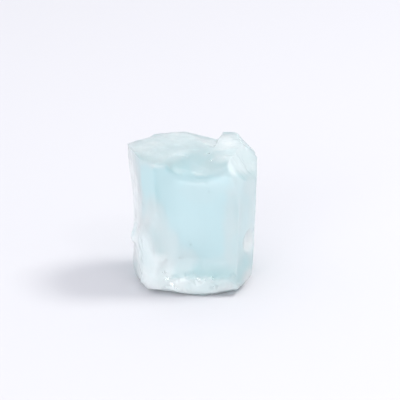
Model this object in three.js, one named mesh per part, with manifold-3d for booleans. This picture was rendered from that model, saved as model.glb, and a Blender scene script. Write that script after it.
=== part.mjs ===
// A raw crystal of pale blue-green beryl, the mineral of emerald and aquamarine: one short, stout
// prism that tapers a little towards its foot. Its sides are the natural growth faces. Both ends
// are broken: the top into a flat shelf, a valley, a ridge and a long slope, the foot into a ring
// of chips around the flat patch it stands on. A thin outer skin of crystal is left along the front
// of the foot and as a lump on the lower left corner.
//
// Millimetres. +Z runs up the crystal's long axis, -Y is out of its broad front face and +X is to
// the right of someone who looks at that face.
import * as THREE from "three";
import { mergeVertices } from "three/addons/utils/BufferGeometryUtils.js";
import Module from "manifold-3d";

const wasm = await Module();
wasm.setup();

// Driving dimensions of the whole crystal.
const HEIGHT = 17.3; // foot to the top of the prism, before the top is broken
const SHELF = 16.85; // foot to the flat shelf on the left of the top
const FOOT_WIDTH = 0.9; // the prism's width at the foot beside its width at the top
const FOOT_DEPTH = 0.96; // the same for its depth, front to back
const SKIN = 0.42; // thickness of the outer skin where it is left

// Corners of the prism at the top, counter-clockwise from above, starting at the front left.
// The growth faces between them meet at blunt, uneven angles, as on a slightly flattened hexagon.
const CORNERS = [
  [-4.85, -6.3],
  [5.5, -6.3],
  [7.7, -2.6],
  [7.7, 1.9],
  [5.5, 6.3],
  [-3.0, 6.45],
  [-4.9, 5.4],
  [-8.3, 1.6],
  [-6.55, -4.4],
];

const FACET = 0.55; // side of the small triangles that round surfaces are made of
const BIG = 60; // side of the blocks that stand for everything beyond a flat break
const WELD = 1e-4; // points closer than this are one point

// A closed geometry as a solid that can be joined and cut.
function solidOf(geometry) {
  const bare = geometry.clone();
  bare.deleteAttribute("normal");
  bare.deleteAttribute("uv");
  const merged = mergeVertices(bare, WELD);
  return new wasm.Manifold(
    new wasm.Mesh({
      numProp: 3,
      vertProperties: merged.attributes.position.array,
      triVerts: new Uint32Array(merged.index.array),
    }),
  );
}

// The tapered prism, grown outwards by `skin`.
function prism(skin) {
  const outline = new THREE.Shape(
    CORNERS.map(([x, y]) => {
      const corner = new THREE.Vector2(x, y);
      return corner.setLength(corner.length() + skin);
    }),
  );
  const geometry = new THREE.ExtrudeGeometry(outline, { depth: HEIGHT, bevelEnabled: false });
  const points = geometry.attributes.position;
  for (let i = 0; i < points.count; i++) {
    const share = points.getZ(i) / HEIGHT;
    const width = THREE.MathUtils.lerp(FOOT_WIDTH, 1, share);
    const depth = THREE.MathUtils.lerp(FOOT_DEPTH, 1, share);
    points.setXY(i, points.getX(i) * width, points.getY(i) * depth);
  }
  return solidOf(geometry);
}

// Everything on the outer side of the plane through `at` that faces `facing`.
function beyond({ at, facing }) {
  const block = new THREE.BoxGeometry(BIG, BIG, BIG).translate(0, 0, BIG / 2);
  const turn = new THREE.Quaternion().setFromUnitVectors(
    new THREE.Vector3(0, 0, 1),
    new THREE.Vector3(...facing).normalize(),
  );
  return solidOf(block.applyQuaternion(turn).translate(...at));
}

// What lies beyond both of two planes through `at`: a groove with two flat walls.
function groove({ at, walls }) {
  const [left, right] = walls.map((facing) => beyond({ at, facing }));
  return left.intersect(right);
}

// The ball that leaves a shell-shaped hollow of this width and depth where it bites into a surface
// at `at` that faces `facing`. `stretch` draws the ball out along the axes.
function bite({ at, facing, width, depth, stretch = [1, 1, 1] }) {
  const radius = (width ** 2 / 4 + depth ** 2) / (2 * depth);
  const detail = Math.ceil((radius * 1.1) / FACET);
  const draw = new THREE.Vector3(...stretch);
  const centre = new THREE.Vector3(...facing).normalize().multiplyScalar(radius - depth);
  centre.multiply(draw).add(new THREE.Vector3(...at));
  const ball = new THREE.IcosahedronGeometry(radius, detail).scale(...stretch);
  return solidOf(ball.translate(...centre));
}

const cut = (solid, tools) => tools.reduce((left, tool) => left.subtract(tool), solid);

// The breaks of the top, from the shelf on the left to the long slope on the right.
function breakTop(solid) {
  const planes = [
    { at: [0, 0, SHELF], facing: [0.005, 0.005, 1] }, // the shelf
    { at: [7.5, -2.6, 13.7], facing: [1.1, -0.33, 1] }, // the long slope, off the right edge
    { at: [7.0, 3.2, 15.7], facing: [0.75, 0.15, 1] }, // the gentler slope behind it
    { at: [5.5, 6.2, 16.6], facing: [0.5, 0.9, 0.9] }, // the blunt back of the ridge
    { at: [-2.5, 6.4, 16.75], facing: [-0.3, 1, 1.1] },
  ];
  const valley = { at: [2.75, 6.3, 15.75], walls: [[0.28, 0.14, 1], [-1.5, 0.3, 1]] };
  const hollows = [
    // the hollow in the front end of the long slope
    { at: [4.9, -6.0, 16.0], facing: [0.4, -0.9, 0.8], width: 3.2, depth: 0.42 },
    // the shallow hollow in the middle of the long slope
    { at: [6.7, -0.8, 15.2], facing: [1.1, -0.3, 1], width: 5.2, depth: 0.3 },
    // the chipped corners of the shelf
    { at: [-8.3, 1.0, 16.8], facing: [-0.9, -0.35, 0.8], width: 1.6, depth: 0.22 },
    { at: [-6.4, -4.6, 16.9], facing: [-0.6, -0.7, 1], width: 2.3, depth: 0.26 },
    { at: [-6.5, 3.7, 16.9], facing: [-0.6, 0.7, 0.9], width: 3.4, depth: 0.3 },
  ];
  // The scallop that opens the shelf onto the front face stops at a low wall on its right.
  const scallop = bite({ at: [1.0, -4.2, 16.5], facing: [0, -0.26, 1], width: 7.0, depth: 0.9 });
  const wall = beyond({ at: [2.15, -2.2, 16.4], facing: [-1, -0.16, 0.4] });
  const tools = [...planes.map(beyond), groove(valley), scallop.intersect(wall)];
  const notch = bite({ at: [2.9, -6.1, 16.4], facing: [0, -0.7, 1], width: 3.5, depth: 0.75 });
  return cut(solid, [...tools, notch, ...hollows.map(bite)]);
}

// The flakes that have come off the sides.
function breakSides(solid) {
  const planes = [
    { at: [5.35, -6.25, 10.9], facing: [0.5, -0.87, 0.11] }, // the blunted upper right edge
    { at: [-8.1, 1.4, 13.8], facing: [-1, 0.12, -0.08] }, // the left side, sloping in
  ];
  const hollows = [
    // the long hollow up the left side
    { at: [-7.7, 1.0, 9.0], facing: [-1, 0.1, 0], width: 3.4, depth: 0.36, stretch: [1, 1, 1.9] },
    // the diamond-shaped chip low on the right
    { at: [6.6, -3.9, 5.5], facing: [0.87, -0.5, 0.3], width: 3.0, depth: 0.42 },
    // shallow flakes of the back
    { at: [6.4, 3.8, 8.2], facing: [0.9, 0.45, 0.1], width: 6.2, depth: 0.4 },
    { at: [-0.6, 6.3, 5.6], facing: [-0.05, 1, -0.1], width: 7.0, depth: 0.5, stretch: [1.2, 1, 1] },
    { at: [-5.6, 4.2, 3.4], facing: [-0.65, 0.75, -0.1], width: 4.6, depth: 0.45 },
  ];
  return cut(solid, [...planes.map(beyond), ...hollows.map(bite)]);
}

// The outer skin that is left: on the lower left corner, and as a lip along the front's foot.
function skin() {
  const behind = beyond({ at: [-7.6, 1.0, 0], facing: [0.1, 1, 0.15] });
  const upper = cut(prism(SKIN), [
    behind,
    beyond({ at: [-5.2, -6.3, 9.2], facing: [-0.78, -0.1, 0.62] }),
    beyond({ at: [-4.75, -6.6, 6.0], facing: [1, 0, 0.15] }),
    bite({ at: [-4.3, -6.6, 7.1], facing: [0.5, -1, 0.1], width: 2.0, depth: 0.5 }),
  ]);
  const knob = new THREE.IcosahedronGeometry(1, 4).scale(0.75, 1.7, 1.0).translate(-7.3, -0.5, 5.6);
  const lower = cut(prism(SKIN), [
    behind,
    beyond({ at: [-3.4, -6.6, 4.85], facing: [0.42, 0, 0.9] }),
    beyond({ at: [-3.4, -6.6, 4.85], facing: [0.84, 0.1, -0.54] }),
  ]);
  const lip = cut(prism(SKIN), [
    beyond({ at: [0, -6.5, 2.3], facing: [-0.02, -0.35, 1] }),
    beyond({ at: [4.9, -6.4, 1.7], facing: [1, -0.2, 0.8] }),
    beyond({ at: [-4.0, -6.0, 0], facing: [-0.2, 1, 0] }),
    bite({ at: [-1.5, -6.6, 2.65], facing: [-0.1, -0.6, 1], width: 1.9, depth: 0.42 }),
    bite({ at: [1.7, -6.6, 2.55], facing: [0.2, -0.6, 1], width: 1.5, depth: 0.36 }),
  ]);
  return [upper, solidOf(knob), lower, lip].reduce((all, piece) => all.add(piece));
}

// The chips around the foot. What they leave of the prism's end is the flat patch it stands on.
function breakFoot(solid) {
  const planes = [
    { at: [-7.5, -1.5, 3.4], facing: [-1, -0.25, -0.2] },
    { at: [-6.95, -2.2, 0.9], facing: [-0.8, -0.3, -0.6] },
    { at: [-4.2, -5.5, 0.42], facing: [-0.16, -0.43, -1] },
    { at: [3.2, -5.8, 0.3], facing: [0.24, -0.24, -1] },
    { at: [6.3, -3.4, 0.9], facing: [0.85, -0.35, -0.8] },
  ];
  const hollows = [
    { at: [-3.5, -6.2, 0.5], facing: [-0.1, -0.5, -1], width: 3.0, depth: 0.32 },
    { at: [6.8, -1.6, 0.7], facing: [0.9, -0.3, -0.7], width: 3.4, depth: 0.4 },
    { at: [6.5, 2.2, 0.4], facing: [0.9, 0.4, -0.8], width: 4.2, depth: 0.6 },
    { at: [2.9, 5.9, 0.3], facing: [0.2, 0.9, -0.8], width: 5.4, depth: 0.7 },
    { at: [-2.9, 5.7, 0.3], facing: [-0.4, 0.9, -0.9], width: 4.4, depth: 0.6 },
    { at: [-6.9, 1.8, 0.4], facing: [-0.9, 0.4, -0.8], width: 3.6, depth: 0.5 },
  ];
  return cut(solid, [...planes.map(beyond), ...hollows.map(bite)]);
}

function crystal() {
  const core = breakSides(breakTop(prism(0)));
  const { numProp, vertProperties, triVerts } = breakFoot(core.add(skin())).getMesh();
  const points = new THREE.InterleavedBuffer(vertProperties, numProp);
  const geometry = new THREE.BufferGeometry();
  geometry.setAttribute("position", new THREE.InterleavedBufferAttribute(points, 3, 0));
  geometry.setIndex(new THREE.BufferAttribute(triVerts, 1));
  const material = new THREE.MeshStandardMaterial({
    color: 0xc8e4ea,
    roughness: 0.2,
    metalness: 0,
  });
  const mesh = new THREE.Mesh(geometry, material);
  mesh.name = "emerald_crystal";

  // The frame's origin is under the middle of the crystal's box, on the surface it stands on.
  const box = new THREE.Box3().setFromObject(mesh, true);
  const middle = box.getCenter(new THREE.Vector3());
  mesh.position.set(-middle.x, -middle.y, -box.min.z);
  return mesh;
}

const part = new THREE.Group();
part.add(crystal());

export default part;
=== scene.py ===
from math import cos, pi, radians, sin, sqrt
from random import Random

import bmesh
import bpy
from mathutils import Matrix, Vector, noise
from mathutils.bvhtree import BVHTree
from mathutils.kdtree import KDTree


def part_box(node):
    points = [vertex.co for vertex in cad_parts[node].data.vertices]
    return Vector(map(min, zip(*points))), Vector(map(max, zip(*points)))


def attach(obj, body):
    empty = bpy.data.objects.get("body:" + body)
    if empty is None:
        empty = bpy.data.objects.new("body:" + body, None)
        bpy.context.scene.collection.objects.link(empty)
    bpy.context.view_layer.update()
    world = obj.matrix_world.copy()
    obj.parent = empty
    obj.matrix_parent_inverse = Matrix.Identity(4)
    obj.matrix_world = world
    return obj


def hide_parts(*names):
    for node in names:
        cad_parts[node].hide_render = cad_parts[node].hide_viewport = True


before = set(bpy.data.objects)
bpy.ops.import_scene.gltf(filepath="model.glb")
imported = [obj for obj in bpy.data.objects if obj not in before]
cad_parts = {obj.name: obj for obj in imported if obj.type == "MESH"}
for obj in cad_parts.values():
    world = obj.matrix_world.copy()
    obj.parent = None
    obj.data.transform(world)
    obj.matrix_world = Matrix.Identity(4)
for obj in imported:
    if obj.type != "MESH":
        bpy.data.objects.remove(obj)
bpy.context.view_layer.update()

# ---------------------------------------------------------------------------
# The camera faces the broad front face and looks down on it a little. Its lens is long, so that the
# crystal's upright edges stay nearly upright.

MM = 0.001
low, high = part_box("emerald_crystal")
size = high - low
middle = (low + high) / 2

VIEW_DISTANCE = 250 * MM
VIEW_HEIGHT = radians(20)
VIEW_WIDTH = 48.5 * MM  # how much the frame takes in at that distance
SENSOR = 36.0
AIM_RIGHT = 0.06  # right of the crystal's middle, as a share of its width
AIM_UP = 0.597  # up from its foot, as a share of its height

look_at = Vector((middle.x + AIM_RIGHT * size.x, middle.y, low.z + AIM_UP * size.z))
lens = bpy.data.cameras.new("camera")
lens.sensor_width = SENSOR
lens.lens = SENSOR * VIEW_DISTANCE / VIEW_WIDTH
lens.clip_start = 1 * MM
lens.clip_end = 20.0
camera = bpy.data.objects.new("camera", lens)
camera.location = look_at + VIEW_DISTANCE * Vector((0, -cos(VIEW_HEIGHT), sin(VIEW_HEIGHT)))
camera.rotation_euler = (pi / 2 - VIEW_HEIGHT, 0, 0)
bpy.context.collection.objects.link(camera)
bpy.context.scene.camera = camera

# ---------------------------------------------------------------------------
# The crystal is one piece of clear beryl. Its front, back and right side are growth faces, satin to
# the touch. Its two ends, its left side and its chips are breaks, from smooth shell-like hollows to
# frosted rough.

GRAIN = 0.14 * MM  # side of the small squares of the fine mesh
SAME_CORNER = 0.002 * MM  # corners of the rough shape closer than this are one
SAME_FACE = radians(0.7)  # and triangles that turn by less than this are one flat stretch
GROWTH_HEIGHT = 10 * MM  # a flat side face that reaches higher than this is a growth face
GROWTH_AREA = 8 * MM * MM  # and has more than this area
GROWTH_LEAN = 0.15  # the most that its facing points up or down
BREAK_AREA = 0.6 * MM * MM  # a flat break is larger than this, a facet of a round hollow smaller
HOLLOW_EASING = 4  # how many times the round hollows are eased
RIDGE_ANGLE = radians(22)  # an outer edge that turns by more than this is a ridge
RIDGE_STEP = 0.1 * MM  # spacing of the points along it
RIDGE_SIDE = 0.22 * MM  # how far to each side it is rubbed
RIDGE_EASING = 2  # and how many times it is eased
SHARP_ANGLE = radians(40)  # a crease that turns by more than this stays sharp

# Where the surface is frosted: centre and reach in millimetres, and how much.
FROST = [
    ((-8.2, 0.0, 9.0), (2.3, 10.0, 10.0), 0.9),  # the broken left side
    ((-6.4, -4.6, 3.6), (3.4, 4.0, 5.4), 1.0),  # the lump at the lower left
    ((-1.5, -5.6, 0.4), (7.5, 2.6, 2.1), 0.75),  # the lip over the foot
    ((5.6, 0.5, 16.2), (4.3, 8.0, 4.2), 0.8),  # the terrace and its slope
    ((-3.5, 1.6, 17.0), (6.5, 7.0, 3.0), 0.6),  # the shelf
    ((8.4, 0.0, 8.0), (2.4, 9.0, 10.0), 0.45),  # the right side
    ((7.0, -4.6, 6.0), (0.9, 1.6, 1.4), 0.9),  # the chip on the right edge
    ((-0.6, -5.3, 15.7), (3.4, 1.6, 1.2), 0.7),  # the rim of the scallop
    ((-1.3, -2.2, 16.6), (1.3, 0.5, 0.6), 1.1),  # a streak on the shelf, behind the scallop
    ((0.5, -6.2, 3.2), (5.5, 1.2, 1.8), 0.8),  # over the lip
    ((0.0, 6.8, 8.0), (8.0, 1.8, 9.0), 0.3),  # the back
]
PATCH_FADE = 2.2  # how fast a patch comes to its full strength, inwards from its reach
PATCH_WANDER = 0.6  # how far its edge wanders, in waves of two sizes
WIDE_WANDER = 0.35
WIDE_WANDER_SIZE = 1.3 * MM
FINE_WANDER = 0.15
FINE_WANDER_SIZE = 0.5 * MM

# Edges that are rubbed round: centre and reach in millimetres, and how many times they are eased.
RUBBED = [
    ((0.9, -5.4, 15.0), (4.4, 3.2, 3.6), 260),  # from the scallop over to the front
    ((0.7, -3.9, 16.0), (3.6, 3.4, 2.0), 150),  # the scallop itself
    ((3.4, -5.2, 15.0), (2.2, 2.2, 1.8), 60),  # beside the notch
    ((6.7, -3.6, 12.8), (2.4, 2.6, 1.8), 60),  # the lower end of the terrace's slope
    ((-3.0, -5.0, 15.6), (5.0, 2.4, 1.6), 24),  # the front of the shelf
    ((-5.4, -5.2, 8.6), (2.2, 2.6, 2.4), 60),  # the top of the lump
    ((-4.4, -5.8, 5.0), (2.4, 2.0, 4.0), 20),  # the lump's front edge
    ((-3.9, -6.2, 1.6), (1.4, 1.4, 1.6), 24),  # and its foot
    ((-7.1, -1.2, 6.0), (1.1, 2.4, 2.2), 40),  # the knob on the left side
    ((1.2, -6.2, 2.3), (6.2, 1.0, 0.9), 10),  # the upper edge of the lip
    ((7.0, -3.2, 6.0), (1.5, 2.2, 1.9), 24),  # the chip on the right edge
]

# The relief. Its depths are in millimetres.
STRIPE_WIDTH = 0.45 * MM  # the upright growth stripes, drawn coarser than the real hairlines
STRIPE_LENGTH = 9 * MM
STRIPE_DEPTH = 0.012
SWELL_WIDTH = 2.2 * MM  # the faint waves of the growth faces
SWELL_LENGTH = 5 * MM
SWELL_DEPTH = 0.05
BREAK_WAVE = 1.8 * MM  # the waves of the broken surfaces
BREAK_DEPTH = 0.05
HACKLE_SIZE = 1.3 * MM  # the hackles, the rough ribs of a frosted break
HACKLE_FALL = 1.0  # how much fainter each finer layer of them is
HACKLE_FINER = 2.1  # and how much finer
HACKLE_LAYERS = 3
HACKLE_BASE = 1.2  # keeps the hackles cut in, not raised
HACKLE_DEPTH = 0.1
GROWTH_HACKLE_DEPTH = 0.03  # where the frost runs over a growth face

# The lip's upper edge, the corner at the lump's foot (centre and reach in millimetres) and the foot.
LIP_EDGE = ((1.2, -6.2, 2.3), (7.5, 1.6, 1.5))
LIP_FADE = 2  # how fast the wandering comes to its full strength, inwards from its reach
LIP_WANDER = 0.3 * MM  # how far the edge wanders up and down
LIP_WANDER_SIZE = 1.4 * MM
LIP_WANDER_ROW = (3.0, 7.0)  # the row of the noise that it follows
CORNER = ((-5.9, -4.7, 0.9), (1.7, 1.7, 1.4))
CORNER_FADE = 1.6  # and the same for the bulge
CORNER_SWELL = Vector((-0.35, -0.2, 0.0)) * MM  # how far the corner bulges out
FOOT_HEIGHT = 0.25 * MM  # the underside is all that lies lower than this
FOOT_GAP = 0.16 * MM  # how far it rises off the floor in places
FOOT_GAP_SHARE = 0.35  # the larger this is, the less of it touches the floor
FOOT_WAVE = 1.1 * MM

CHIP_SEED = 41
CHIP_COUNT = 170
CHIP_WIDTHS = (0.3, 0.95)  # the narrowest and the widest, in millimetres
CHIP_TURN = 0.5  # how far a chip's facing strays from the edge's
CHIP_DEPTH = 0.1  # the least depth, as a share of the width
CHIP_DEPTH_SPREAD = 0.14  # and how much more it may be
CHIP_RIB = 0.35  # how deep the fine ribs in a chip are, as a share of its depth
CHIP_RIB_SIZE = 0.3 * MM
CHIP_FROST = 0.6  # the share of the frost that is left in it
CHIP_HEIGHT = 0.5 * MM  # no chip reaches lower than this
# Chips with a place of their own, and their widths, in millimetres.
PLACED_CHIPS = [
    ((6.55, -3.9, 7.0), 1.0),
    ((6.6, -3.8, 4.9), 0.8),
    ((7.1, -2.4, 5.0), 0.8),
    ((7.1, -2.5, 6.8), 0.7),
    ((-2.3, -6.2, 2.2), 1.6),
    ((-0.5, -6.2, 2.5), 1.1),
    ((1.1, -6.2, 2.1), 1.7),
    ((3.0, -6.2, 2.2), 1.1),
    ((4.7, -5.9, 1.6), 1.3),
    ((-3.2, -6.2, 1.2), 1.0),
    ((-0.9, -6.3, 0.9), 1.1),
    ((2.6, -6.2, 1.0), 1.3),
]
PLACED_CHIP_TURN = 0.4  # how far their facing strays from the surface's

# Small bright cleavage facets: place and width in millimetres. All of them face the same way.
FACET_FACING = Vector((0.19, -0.81, 0.55)).normalized()
FACETS = [
    ((0.6, -6.3, 2.1), 0.6),
    ((2.45, -6.25, 2.3), 0.55),
    ((-3.0, -6.25, 2.2), 0.7),
    ((-2.5, -6.3, 1.4), 0.7),
    ((-3.3, -6.05, 3.0), 0.5),
    ((-1.9, -6.3, 1.0), 0.5),
    ((1.5, -6.3, 2.1), 0.35),
    ((2.38, -2.99, 15.99), 0.4),
    ((2.05, -1.6, 16.7), 0.35),
    ((-7.1, -0.5, 12.7), 0.5),
]
FACET_SINK = 0.08  # how deep a facet is cut in, as a share of its width
FACET_RAGGED = 0.6  # how much its outline wanders
FACET_RAGGED_SIZE = 0.15 * MM
FACET_FROST = -0.7  # less than none: it is smoother than the satin faces


def colour(text):
    """A six-digit sRGB hex value as the linear colour that shaders take."""
    parts = [int(text[i : i + 2], 16) / 255 for i in (0, 2, 4)]
    return [c / 12.92 if c <= 0.04045 else ((c + 0.055) / 1.055) ** 2.4 for c in parts] + [1.0]


def node(material, kind, inputs=(), **settings):
    """Adds a node with its settings. An input is a number, a colour or the socket it is joined to."""
    made = material.node_tree.nodes.new(kind)
    for name, value in settings.items():
        setattr(made, name, value)
    for name, value in dict(inputs).items():
        if isinstance(value, bpy.types.NodeSocket):
            material.node_tree.links.new(value, made.inputs[name])
        else:
            made.inputs[name].default_value = value
    return made


def new_material(name):
    """A material of that name, with no nodes in it yet."""
    made = bpy.data.materials.new(name)
    made.use_nodes = True
    made.node_tree.nodes.clear()
    return made


def smooth_step(value):
    """0 up to 0, 1 from 1 on, and a soft rise in between."""
    value = min(1.0, max(0.0, value))
    return value * value * (3 - 2 * value)


def rough_shape():
    """The CAD solid with its flat stretches merged, as the shape that the fine mesh lies on."""
    form = bmesh.new()
    form.from_mesh(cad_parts["emerald_crystal"].data)
    bmesh.ops.remove_doubles(form, verts=form.verts[:], dist=SAME_CORNER)
    bmesh.ops.dissolve_limit(form, angle_limit=SAME_FACE, verts=form.verts[:], edges=form.edges[:])
    form.faces.ensure_lookup_table()
    form.normal_update()
    return form


def is_growth(face):
    """Tells a large upright face of the rough shape from a break."""
    tall = max(v.co.z for v in face.verts) > low.z + GROWTH_HEIGHT
    return tall and abs(face.normal.z) < GROWTH_LEAN and face.calc_area() > GROWTH_AREA


def even_form(shape, grain):
    """An even, closed mesh of squares of that side, on the rough shape."""
    mesh = bpy.data.meshes.new("rough_crystal")
    shape.to_mesh(mesh)
    rough = bpy.data.objects.new("rough_crystal", mesh)
    bpy.context.collection.objects.link(rough)
    squares = rough.modifiers.new("squares", "REMESH")
    squares.mode = "VOXEL"
    squares.voxel_size = grain
    settled = rough.evaluated_get(bpy.context.evaluated_depsgraph_get())
    even = bpy.data.meshes.new_from_object(settled)
    bpy.data.objects.remove(rough)
    form = bmesh.new()
    form.from_mesh(even)
    return form


def ridges(shape):
    """Points along the sharp outer edges, with the way out there."""
    points = []
    for edge in shape.edges:
        if edge.is_manifold and edge.is_convex and edge.calc_face_angle() > RIDGE_ANGLE:
            out = (edge.link_faces[0].normal + edge.link_faces[1].normal).normalized()
            start, end = (v.co.copy() for v in edge.verts)
            steps = max(1, round((end - start).length / RIDGE_STEP))
            points += [(start.lerp(end, i / steps), out) for i in range(steps + 1)]
    return points


def nearness(spot, centre, reach):
    """1 at the centre of a patch, 0 at its reach, and less outside."""
    return 1.0 - sqrt(sum(((spot[i] / MM - centre[i]) / reach[i]) ** 2 for i in range(3)))


def strength_at(spot, patches):
    """The most that any of the patches gives a point. They fade out unevenly."""
    wide = noise.noise(spot / WIDE_WANDER_SIZE)
    fine = noise.noise(spot / FINE_WANDER_SIZE)
    wander = PATCH_WANDER * (WIDE_WANDER * wide + FINE_WANDER * fine)
    return max(
        strength * smooth_step(PATCH_FADE * nearness(spot, centre, reach) + wander)
        for centre, reach, strength in patches
    )


def ease(form, verts, times):
    """Rubs these points smooth, that many times over."""
    for _ in range(times):
        bmesh.ops.smooth_vert(
            form, verts=verts, factor=0.5, use_axis_x=True, use_axis_y=True, use_axis_z=True
        )


shape = rough_shape()
tree = BVHTree.FromBMesh(shape)
growth_faces = {f.index for f in shape.faces if is_growth(f)}
flat_faces = {f.index for f in shape.faces if f.calc_area() > BREAK_AREA}
ridge_points = ridges(shape)

form = even_form(shape, GRAIN)
frost = form.verts.layers.float.new("frost")
under = {}
for vert in form.verts:
    vert.co, _, under[vert], _ = tree.find_nearest(vert.co)
ease(form, [v for v in form.verts if under[v] not in flat_faces], HOLLOW_EASING)
for centre, reach, times in RUBBED:
    ease(form, [v for v in form.verts if nearness(v.co, centre, reach) > 0], times)
ridge_tree = KDTree(len(ridge_points))
for index, (spot, out) in enumerate(ridge_points):
    ridge_tree.insert(spot, index)
ridge_tree.balance()
ease(form, [v for v in form.verts if ridge_tree.find(v.co)[2] < RIDGE_SIDE], RIDGE_EASING)
form.normal_update()

# The relief is cut into the skin: stripes and swells on growth faces, waves and hackles on breaks.
# The lip's upper edge then wanders up and down, and the corner at the lump's foot bulges out.
for vert in form.verts:
    spot = vert.co
    amount = strength_at(spot, FROST)
    lip = smooth_step(LIP_FADE * nearness(spot, *LIP_EDGE))
    growth = under[vert] in growth_faces
    if growth:
        stripe = Vector((spot.x / STRIPE_WIDTH, spot.y / STRIPE_WIDTH, spot.z / STRIPE_LENGTH))
        swell = Vector((spot.x / SWELL_WIDTH, spot.y / SWELL_WIDTH, spot.z / SWELL_LENGTH))
        depth = STRIPE_DEPTH * (1 + noise.noise(stripe)) + SWELL_DEPTH * (1 + noise.noise(swell))
    else:
        depth = BREAK_DEPTH * (1 + noise.noise(spot / BREAK_WAVE))
    hackle = noise.fractal(spot / HACKLE_SIZE, HACKLE_FALL, HACKLE_FINER, HACKLE_LAYERS)
    depth += amount * (GROWTH_HACKLE_DEPTH if growth else HACKLE_DEPTH) * (HACKLE_BASE + hackle)
    vert[frost] = amount
    vert.co = spot - depth * MM * vert.normal
    row = Vector((vert.co.x / LIP_WANDER_SIZE, *LIP_WANDER_ROW))
    vert.co.z += lip * LIP_WANDER * noise.noise(row)
    corner = smooth_step(CORNER_FADE * nearness(vert.co, *CORNER))
    vert.co += corner * CORNER_SWELL

# The foot is uneven underneath, so that it stands on a few spots with air between them.
for vert in form.verts:
    if vert.co.z < FOOT_HEIGHT:
        gap = max(0.0, FOOT_GAP_SHARE + noise.noise(vert.co / FOOT_WAVE))
        vert.co.z += FOOT_GAP * gap

# The chips: small shell-like bites, most of them along the sharp edges.
draw = Random(CHIP_SEED)
all_verts = list(form.verts)
nearby = KDTree(len(all_verts))
for index, vert in enumerate(all_verts):
    nearby.insert(vert.co, index)
nearby.balance()
narrow, wide = CHIP_WIDTHS
bites = []
for _ in range(CHIP_COUNT):
    spot, out = draw.choice(ridge_points)
    width = narrow + (wide - narrow) * draw.random() ** 2
    turn = Vector([draw.uniform(-CHIP_TURN, CHIP_TURN) for _ in range(3)])
    bites.append((spot, (out + turn).normalized(), width * MM))
for place, width in PLACED_CHIPS:
    spot, index, _ = nearby.find(Vector(place) * MM)
    turn = Vector([draw.uniform(-PLACED_CHIP_TURN, PLACED_CHIP_TURN) for _ in range(3)])
    bites.append((spot, (all_verts[index].normal + turn).normalized(), width * MM))
for spot, out, width in bites:
    depth = width * (CHIP_DEPTH + CHIP_DEPTH_SPREAD * draw.random())
    radius = (width * width / 4 + depth * depth) / (2 * depth)
    centre = spot + out * (radius - depth)
    for before, index, _ in nearby.find_range(centre, radius):
        vert = all_verts[index]
        away = vert.co - centre
        rib = 1 + noise.noise(vert.co / CHIP_RIB_SIZE)
        shell = radius * (1 - CHIP_RIB * depth / radius * rib)
        if away.length < shell and before.z > CHIP_HEIGHT:
            vert.co = centre + away.normalized() * shell
            vert[frost] *= CHIP_FROST

for face in form.faces:
    face.smooth = True

# The cleavage facets. The mesh is made finer round each, and cut down to the facet's plane.
facet_places = [all_verts[nearby.find(Vector(place) * MM)[1]].co.copy() for place, _ in FACETS]
for centre, (_, width) in zip(facet_places, FACETS):
    reach = width * MM
    near = [e for e in form.edges if (e.verts[0].co - centre).length < reach]
    bmesh.ops.subdivide_edges(form, edges=near, cuts=1, use_grid_fill=True)
    facet = set()
    for vert in form.verts:
        ragged = 1 + FACET_RAGGED * noise.noise(vert.co / FACET_RAGGED_SIZE)
        if (vert.co - centre).length < reach / 2 * ragged:
            height = (vert.co - centre).dot(FACET_FACING) + FACET_SINK * reach
            if height > 0:
                vert.co -= height * FACET_FACING
                vert[frost] = FACET_FROST
                facet.add(vert)
    for face in form.faces:
        if facet.issuperset(face.verts):
            face.smooth = False

surface = BVHTree.FromBMesh(form)
mesh = bpy.data.meshes.new("crystal")
form.to_mesh(mesh)
form.free()
mesh.set_sharp_from_angle(angle=SHARP_ANGLE)
crystal = bpy.data.objects.new("crystal", mesh)
bpy.context.collection.objects.link(crystal)

# Beryl: a clear, very pale blue-green body that deepens with the length of the light's way through.
# Growth leaves its faces satin, and a rough break is frosted, so that nothing shows sharply through.
FROST_PATCH = MM / 0.6  # the frost is coarser and finer in patches of 1.7 mm
GRIT = MM / 4.5  # 0.22 mm: the real grit is ten times finer, too fine to show, and is drawn coarser
GRIT_DEPTH = 0.02 * MM
SATIN_ROUGHNESS = 0.24
FROST_ROUGHNESS = 0.5
PATCH_ROUGHNESS = 0.16  # what the roughest spot of a patch adds

beryl = new_material("clear_beryl")
frosting = node(beryl, "ShaderNodeAttribute", attribute_name="frost")
beryl_place = node(beryl, "ShaderNodeTexCoord")
patches = node(
    beryl,
    "ShaderNodeTexNoise",
    {"Vector": beryl_place.outputs["Object"], "Scale": 1 / FROST_PATCH, "Detail": 4.0},
)
patch_roughness = node(
    beryl,
    "ShaderNodeMath",
    {0: patches.outputs["Fac"], 1: PATCH_ROUGHNESS},
    operation="MULTIPLY",
)
satin_to_frost = node(
    beryl,
    "ShaderNodeMapRange",
    {
        "Value": frosting.outputs["Fac"],
        "To Min": SATIN_ROUGHNESS,
        "To Max": FROST_ROUGHNESS,
    },
    clamp=False,
)
roughness = node(
    beryl,
    "ShaderNodeMath",
    {0: satin_to_frost.outputs["Result"], 1: patch_roughness.outputs["Value"]},
    operation="ADD",
)
grit = node(
    beryl,
    "ShaderNodeTexNoise",
    {"Vector": beryl_place.outputs["Object"], "Scale": 1 / GRIT, "Detail": 3.0},
)
bumps = node(
    beryl,
    "ShaderNodeBump",
    {"Height": grit.outputs["Fac"], "Strength": 0.1, "Distance": GRIT_DEPTH},
)
glass = node(
    beryl,
    "ShaderNodeBsdfPrincipled",
    {
        "Base Color": colour("FFFFFF"),
        "Roughness": roughness.outputs["Value"],
        "Normal": bumps.outputs["Normal"],
        "IOR": 1.577,
        "Transmission Weight": 1.0,
    },
)
body = node(beryl, "ShaderNodeVolumeAbsorption", {"Color": colour("7CE2E6"), "Density": 40.0})
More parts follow.
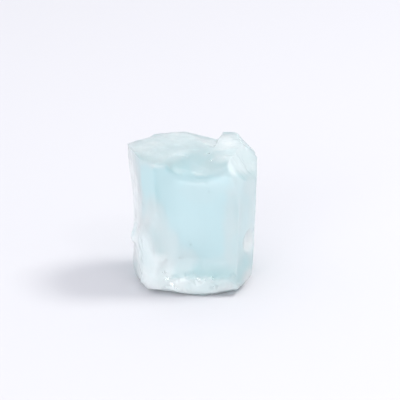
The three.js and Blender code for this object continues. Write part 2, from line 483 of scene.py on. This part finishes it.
node(
    beryl,
    "ShaderNodeOutputMaterial",
    {"Surface": glass.outputs["BSDF"], "Volume": body.outputs["Volume"]},
)
mesh.materials.append(beryl)
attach(crystal, "root")
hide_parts("emerald_crystal")

# ---------------------------------------------------------------------------
# The healed fractures are old cracks that closed again while the crystal grew. Each is a thin sheet
# of tiny sealed bubbles, just under the skin, and looks like white haze. One small white streak on
# the shelf is a painted highlight, not a fracture.

VEIL_GRAIN = 0.32 * MM  # side of the squares of the veils' mesh
VEIL_DEPTH = 0.22 * MM  # how deep they lie under the skin
VEIL_SWAY = 0.08 * MM  # and how much deeper or shallower in places
VEIL_SWAY_SIZE = 1.5 * MM
VEIL_COVER = 0.1 * MM  # the least depth, under a chip
VEIL_EASING = 2  # how many times they are eased before that, and once after
THINNEST_HAZE = 0.04  # a veil thinner than this is left out
# Where they lie: centre and reach in millimetres, and how dense.
HAZE_AND_HIGHLIGHT = [
    ((-8.6, 0.0, 9.0), (4.3, 10.0, 13.0), 0.95),  # behind the broken left side
    ((-6.2, -4.6, 3.4), (4.6, 5.0, 6.8), 0.75),  # in the lump
    ((-3.9, -5.8, 3.2), (2.5, 2.4, 4.0), 0.82),  # in front of the lump
    ((-4.8, -5.7, 8.4), (2.8, 2.2, 5.4), 0.6),  # above the lump
    ((-1.0, -5.8, 0.3), (10.0, 3.4, 3.2), 0.88),  # in the lip
    ((0.0, 0.0, -1.0), (16.0, 14.0, 2.4), 1.0),  # over the foot
    ((5.8, 0.5, 16.4), (4.5, 8.0, 4.4), 0.58),  # under the terrace and its slope
    ((2.8, 2.4, 17.0), (3.4, 5.6, 3.0), 0.72),  # between the shelf and the terrace
    ((-4.8, -4.8, 16.5), (3.6, 2.4, 0.9), 0.55),  # along the front of the shelf
    ((-1.9, -5.2, 16.4), (2.3, 1.4, 0.9), 0.24),  # at the rim of the scallop
    ((2.0, -4.0, 15.9), (3.2, 2.4, 1.5), 0.5),  # in the hollow of the scallop
    ((3.6, -5.2, 15.7), (2.6, 1.8, 1.1), 0.2),  # along the front of the notch
    ((3.3, -3.2, 16.6), (2.0, 2.0, 1.3), 0.6),  # behind the notch
    ((-6.4, -3.6, 1.2), (3.4, 5.5, 2.8), 0.9),  # at the foot of the lump
    ((-5.4, -4.8, 0.5), (2.0, 2.0, 1.4), 1.0),  # and at the corner there
    ((-2.5, 1.6, 17.0), (9.0, 8.5, 3.6), 0.58),  # under the shelf
    # A painted highlight: a white streak on the shelf, where a pale gleam lies.
    ((-1.6, -2.0, 16.7), (1.5, 0.4, 0.7), 0.4),  # a streak on the shelf
    ((4.9, -5.6, 15.6), (0.6, 0.6, 0.7), 0.6),  # a small cloud beside the notch
    ((7.0, -3.4, 6.0), (1.5, 2.0, 2.0), 0.86),  # at the chip on the right edge
    ((6.8, -3.6, 13.2), (1.8, 2.4, 2.0), 0.6),  # at the lower end of the terrace's slope
    ((8.8, 0.0, 8.0), (4.0, 10.0, 12.0), 0.5),  # on the right
    ((6.8, -3.4, 1.2), (2.6, 3.0, 2.4), 0.65),  # low on the right
    ((6.9, -3.0, 1.1), (1.2, 3.0, 1.7), 1.0),  # along the right foot
    ((5.6, -6.0, 8.0), (2.6, 2.2, 10.0), 0.48),  # at the front right
    ((-3.4, -6.0, 6.6), (2.6, 1.6, 3.2), 0.6),  # low in the front
    ((-5.4, -4.8, 8.8), (1.2, 1.2, 1.8), 0.85),  # a denser cloud at the top of the lump
    ((-2.0, -6.2, 4.4), (3.6, 1.2, 2.7), 0.57),  # a cloud above the lip
    ((2.9, -6.2, 3.5), (2.9, 1.2, 2.1), 0.33),  # a thinner one beside it
    ((1.2, -6.2, 13.4), (3.4, 1.6, 2.4), 0.13),  # a faint one high in the front
]
# Where they are thinner: centre and reach in millimetres, and how much is taken away.
CLEAR = [
    ((0.2, -3.4, 16.6), (2.2, 2.4, 1.8), 0.45),  # the scallop
    ((1.2, -6.2, 1.2), (2.6, 1.6, 1.6), 0.25),  # the right of the lip
    ((-5.5, -4.9, 14.4), (0.9, 1.4, 2.6), 0.9),  # beside the left side's top
    ((-7.4, -1.0, 6.6), (0.8, 1.6, 1.2), 0.25),  # the knob on the left side
    ((1.2, 0.3, 16.8), (2.6, 2.2, 1.0), 0.25),  # the shelf, behind the scallop
]

veil_form = even_form(shape, VEIL_GRAIN)
for vert in veil_form.verts:
    vert.co = tree.find_nearest(vert.co)[0]
veil_form.normal_update()
haze_and_highlight_layer = veil_form.verts.layers.float.new("haze_and_highlight")
for vert in veil_form.verts:
    vert[haze_and_highlight_layer] = strength_at(vert.co, HAZE_AND_HIGHLIGHT) * (1 - strength_at(vert.co, CLEAR))
thin = [v for v in veil_form.verts if v[haze_and_highlight_layer] < THINNEST_HAZE]
bmesh.ops.delete(veil_form, geom=thin, context="VERTS")
for vert in veil_form.verts:
    depth = VEIL_DEPTH + VEIL_SWAY * noise.noise(vert.co / VEIL_SWAY_SIZE)
    vert.co = vert.co - depth * vert.normal
ease(veil_form, veil_form.verts[:], VEIL_EASING)
for vert in veil_form.verts:
    spot, out, _, _ = surface.find_nearest(vert.co)
    if (spot - vert.co).dot(out) < VEIL_COVER:
        vert.co = spot - VEIL_COVER * out
ease(veil_form, veil_form.verts[:], 1)
for face in veil_form.faces:
    face.smooth = True
veil_mesh = bpy.data.meshes.new("healed_fractures_and_highlight")
veil_form.to_mesh(veil_mesh)
veil_form.free()
shape.free()
veils = bpy.data.objects.new("healed_fractures_and_highlight", veil_mesh)
bpy.context.collection.objects.link(veils)

# A healed fracture is a layer of microscopic bubbles: white, matt, and thicker here and there. The
# bubbles are too fine to show, so it is drawn as an even white that covers more or less. A full
# haze covers all, none covers nothing, and in between it gathers in clouds. The same white paints
# the highlight streak on the shelf.
CLOUD = 2 * MM  # how wide a cloud is

bubbles_and_highlight = new_material("healed_fracture_haze_and_highlight")
haze_and_highlight = node(bubbles_and_highlight, "ShaderNodeAttribute", attribute_name="haze_and_highlight")
veil_place = node(bubbles_and_highlight, "ShaderNodeTexCoord")
clouds = node(
    bubbles_and_highlight,
    "ShaderNodeTexNoise",
    {
        "Vector": veil_place.outputs["Object"],
        "Scale": 1 / CLOUD,
        "Detail": 5.0,
        "Roughness": 0.6,
    },
)
gathered = node(
    bubbles_and_highlight,
    "ShaderNodeMapRange",
    {
        "Value": clouds.outputs["Fac"],
        "From Min": 0.3,
        "From Max": 0.7,
        "To Min": -0.5,
        "To Max": 0.6,
    },
)
squared = node(
    bubbles_and_highlight,
    "ShaderNodeMath",
    {0: haze_and_highlight.outputs["Fac"], 1: haze_and_highlight.outputs["Fac"]},
    operation="MULTIPLY",
)
between = node(
    bubbles_and_highlight,
    "ShaderNodeMath",
    {0: haze_and_highlight.outputs["Fac"], 1: squared.outputs["Value"]},
    operation="SUBTRACT",
)
cover = node(
    bubbles_and_highlight,
    "ShaderNodeMath",
    {0: gathered.outputs["Result"], 1: between.outputs["Value"], 2: haze_and_highlight.outputs["Fac"]},
    operation="MULTIPLY_ADD",
    use_clamp=True,
)
white = node(
    bubbles_and_highlight,
    "ShaderNodeBsdfPrincipled",
    {
        "Base Color": colour("FDFEFE"),
        "Roughness": 0.9,
        "Specular IOR Level": 0.0,
        "Alpha": cover.outputs["Value"],
    },
)
node(bubbles_and_highlight, "ShaderNodeOutputMaterial", {"Surface": white.outputs["BSDF"]})
veil_mesh.materials.append(bubbles_and_highlight)
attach(veils, "root")

# ---------------------------------------------------------------------------
# The specks are flakes of grey mica that the crystal grew round, and one plate of painted shade.
# Each is a thin six-sided plate, sealed in the beryl. The painted shade is the dark plate in the step
# beside the notch, where the step's edge casts its shadow.

MICA_AND_SHADE_THICKNESS = 0.03 * MM
# Centre, width and height in millimetres, and how far the plate is turned about the upright.
MICA_AND_SHADE = [
    ((2.01, -5.72, 13.2), 0.1, 0.4, 12),
    ((4.21, -6.09, 10.85), 0.14, 0.24, -8),
    ((-0.17, -5.84, 6.6), 0.2, 0.2, 8),
    ((-1.43, -5.86, 4.95), 0.09, 0.24, 25),
    # Painted shade, not mica: the shadow under the step's edge beside the notch, drawn as a dark
    # plate.
    ((2.05, -1.45, 16.54), 0.14, 0.22, 35),
    ((-6.95, -0.6, 12.35), 0.14, 0.2, -60),
    ((-4.583, -5.963, 5.7), 0.09, 0.4, -52),
    ((3.4, 2.6, 9.8), 0.3, 0.34, 50),
    ((-3.1, 4.7, 12.1), 0.26, 0.3, 160),
    ((5.9, 1.5, 4.4), 0.24, 0.3, 95),
    ((-1.9, 4.9, 5.2), 0.3, 0.26, 190),
    ((1.2, 5.1, 8.3), 0.2, 0.34, 175),
]

mica_and_shade_form = bmesh.new()
for place, width, height, turn in MICA_AND_SHADE:
    bmesh.ops.create_cone(
        mica_and_shade_form,
        cap_ends=True,
        segments=6,
        radius1=0.5,
        radius2=0.5,
        depth=1.0,
        matrix=Matrix.Translation(Vector(place) * MM)
        @ Matrix.Rotation(radians(turn), 4, "Z")
        @ Matrix.Rotation(pi / 2, 4, "X")
        @ Matrix.Diagonal((width * MM, height * MM, MICA_AND_SHADE_THICKNESS, 1)),
    )
mica_and_shade_mesh = bpy.data.meshes.new("mica_and_shade_specks")
mica_and_shade_form.to_mesh(mica_and_shade_mesh)
mica_and_shade_form.free()
specks = bpy.data.objects.new("mica_and_shade_specks", mica_and_shade_mesh)
bpy.context.collection.objects.link(specks)

# Phlogopite mica: thin grey sheets with a pearly gloss, lighter and darker in fine mottles. The
# same grey also paints the shade in the step beside the notch.
MOTTLE = MM / 9  # 0.11 mm, as coarse as the flakes can show

mica_and_shade = new_material("phlogopite_mica_and_painted_shade")
mica_and_shade_place = node(mica_and_shade, "ShaderNodeTexCoord")
mottles = node(
    mica_and_shade,
    "ShaderNodeTexNoise",
    {"Vector": mica_and_shade_place.outputs["Object"], "Scale": 1 / MOTTLE, "Detail": 2.0},
)
grey = node(
    mica_and_shade,
    "ShaderNodeMix",
    {
        "Factor": mottles.outputs["Fac"],
        "A": colour("5B6766"),
        "B": colour("87938F"),
    },
    data_type="RGBA",
)
pearl = node(
    mica_and_shade,
    "ShaderNodeBsdfPrincipled",
    {"Base Color": grey.outputs["Result"], "Roughness": 0.35, "IOR": 1.58},
)
node(mica_and_shade, "ShaderNodeOutputMaterial", {"Surface": pearl.outputs["BSDF"]})
mica_and_shade_mesh.materials.append(mica_and_shade)
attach(specks, "root")

# ---------------------------------------------------------------------------
# The floor is a plain sheet of matt paper in an even pale tent. Three soft lamps light it: the key
# high on the right, a broad fill low at the front left, and a small one at the front right that
# wakes the facets.

FLOOR_RADIUS = 3.0
TENT_LIGHT = (0.995, 1.0, 1.055, 1.0)  # linear, and a little too blue for a hex value

# Matt white paper: an even pale ground that takes a soft shadow and has hardly any gloss.
paper = new_material("matt_white_paper")
sheet = node(
    paper,
    "ShaderNodeBsdfPrincipled",
    {"Base Color": colour("CECED2"), "Roughness": 0.9, "Specular IOR Level": 0.2},
)
node(paper, "ShaderNodeOutputMaterial", {"Surface": sheet.outputs["BSDF"]})
ground = bmesh.new()
bmesh.ops.create_circle(ground, cap_ends=True, radius=FLOOR_RADIUS, segments=64)
floor_mesh = bpy.data.meshes.new("floor")
ground.to_mesh(floor_mesh)
ground.free()
floor_mesh.materials.append(paper)
floor = bpy.data.objects.new("floor", floor_mesh)
bpy.context.collection.objects.link(floor)

tent = bpy.data.worlds.new("tent")
tent.use_nodes = True
tent_wall = tent.node_tree.nodes["Background"]
tent_wall.inputs["Color"].default_value = TENT_LIGHT
tent_wall.inputs["Strength"].default_value = 1.0
bpy.context.scene.world = tent


def soft_lamp(name, light, width, power, distance, height, turn):
    """A round lamp that faces the crystal. Its height and its turn from +X are in degrees."""
    rise = radians(height)
    way = radians(turn)
    data = bpy.data.lights.new(name, "AREA")
    data.shape = "DISK"
    data.size = width
    data.energy = power
    data.color = colour(light)[:3]
    made = bpy.data.objects.new(name, data)
    across = Vector((cos(way), sin(way), 0)) * cos(rise)
    made.location = middle + distance * (across + Vector((0, 0, sin(rise))))
    made.rotation_euler = (middle - made.location).to_track_quat("-Z", "Y").to_euler()
    bpy.context.collection.objects.link(made)


soft_lamp("key", "FFFDF8", width=0.16, power=1.27, distance=0.5, height=57, turn=6)
soft_lamp("fill", "FFFFFF", width=0.6, power=3.4, distance=0.7, height=9, turn=253)
soft_lamp("glint", "FFFFFF", width=0.06, power=0.12, distance=0.5, height=45, turn=-60)

# Light turns back many times inside the clear crystal before it comes out.
scene = bpy.context.scene
scene.view_settings.view_transform = "Standard"
scene.cycles.max_bounces = 32
scene.cycles.diffuse_bounces = 16
scene.cycles.glossy_bounces = 24
scene.cycles.transmission_bounces = 24
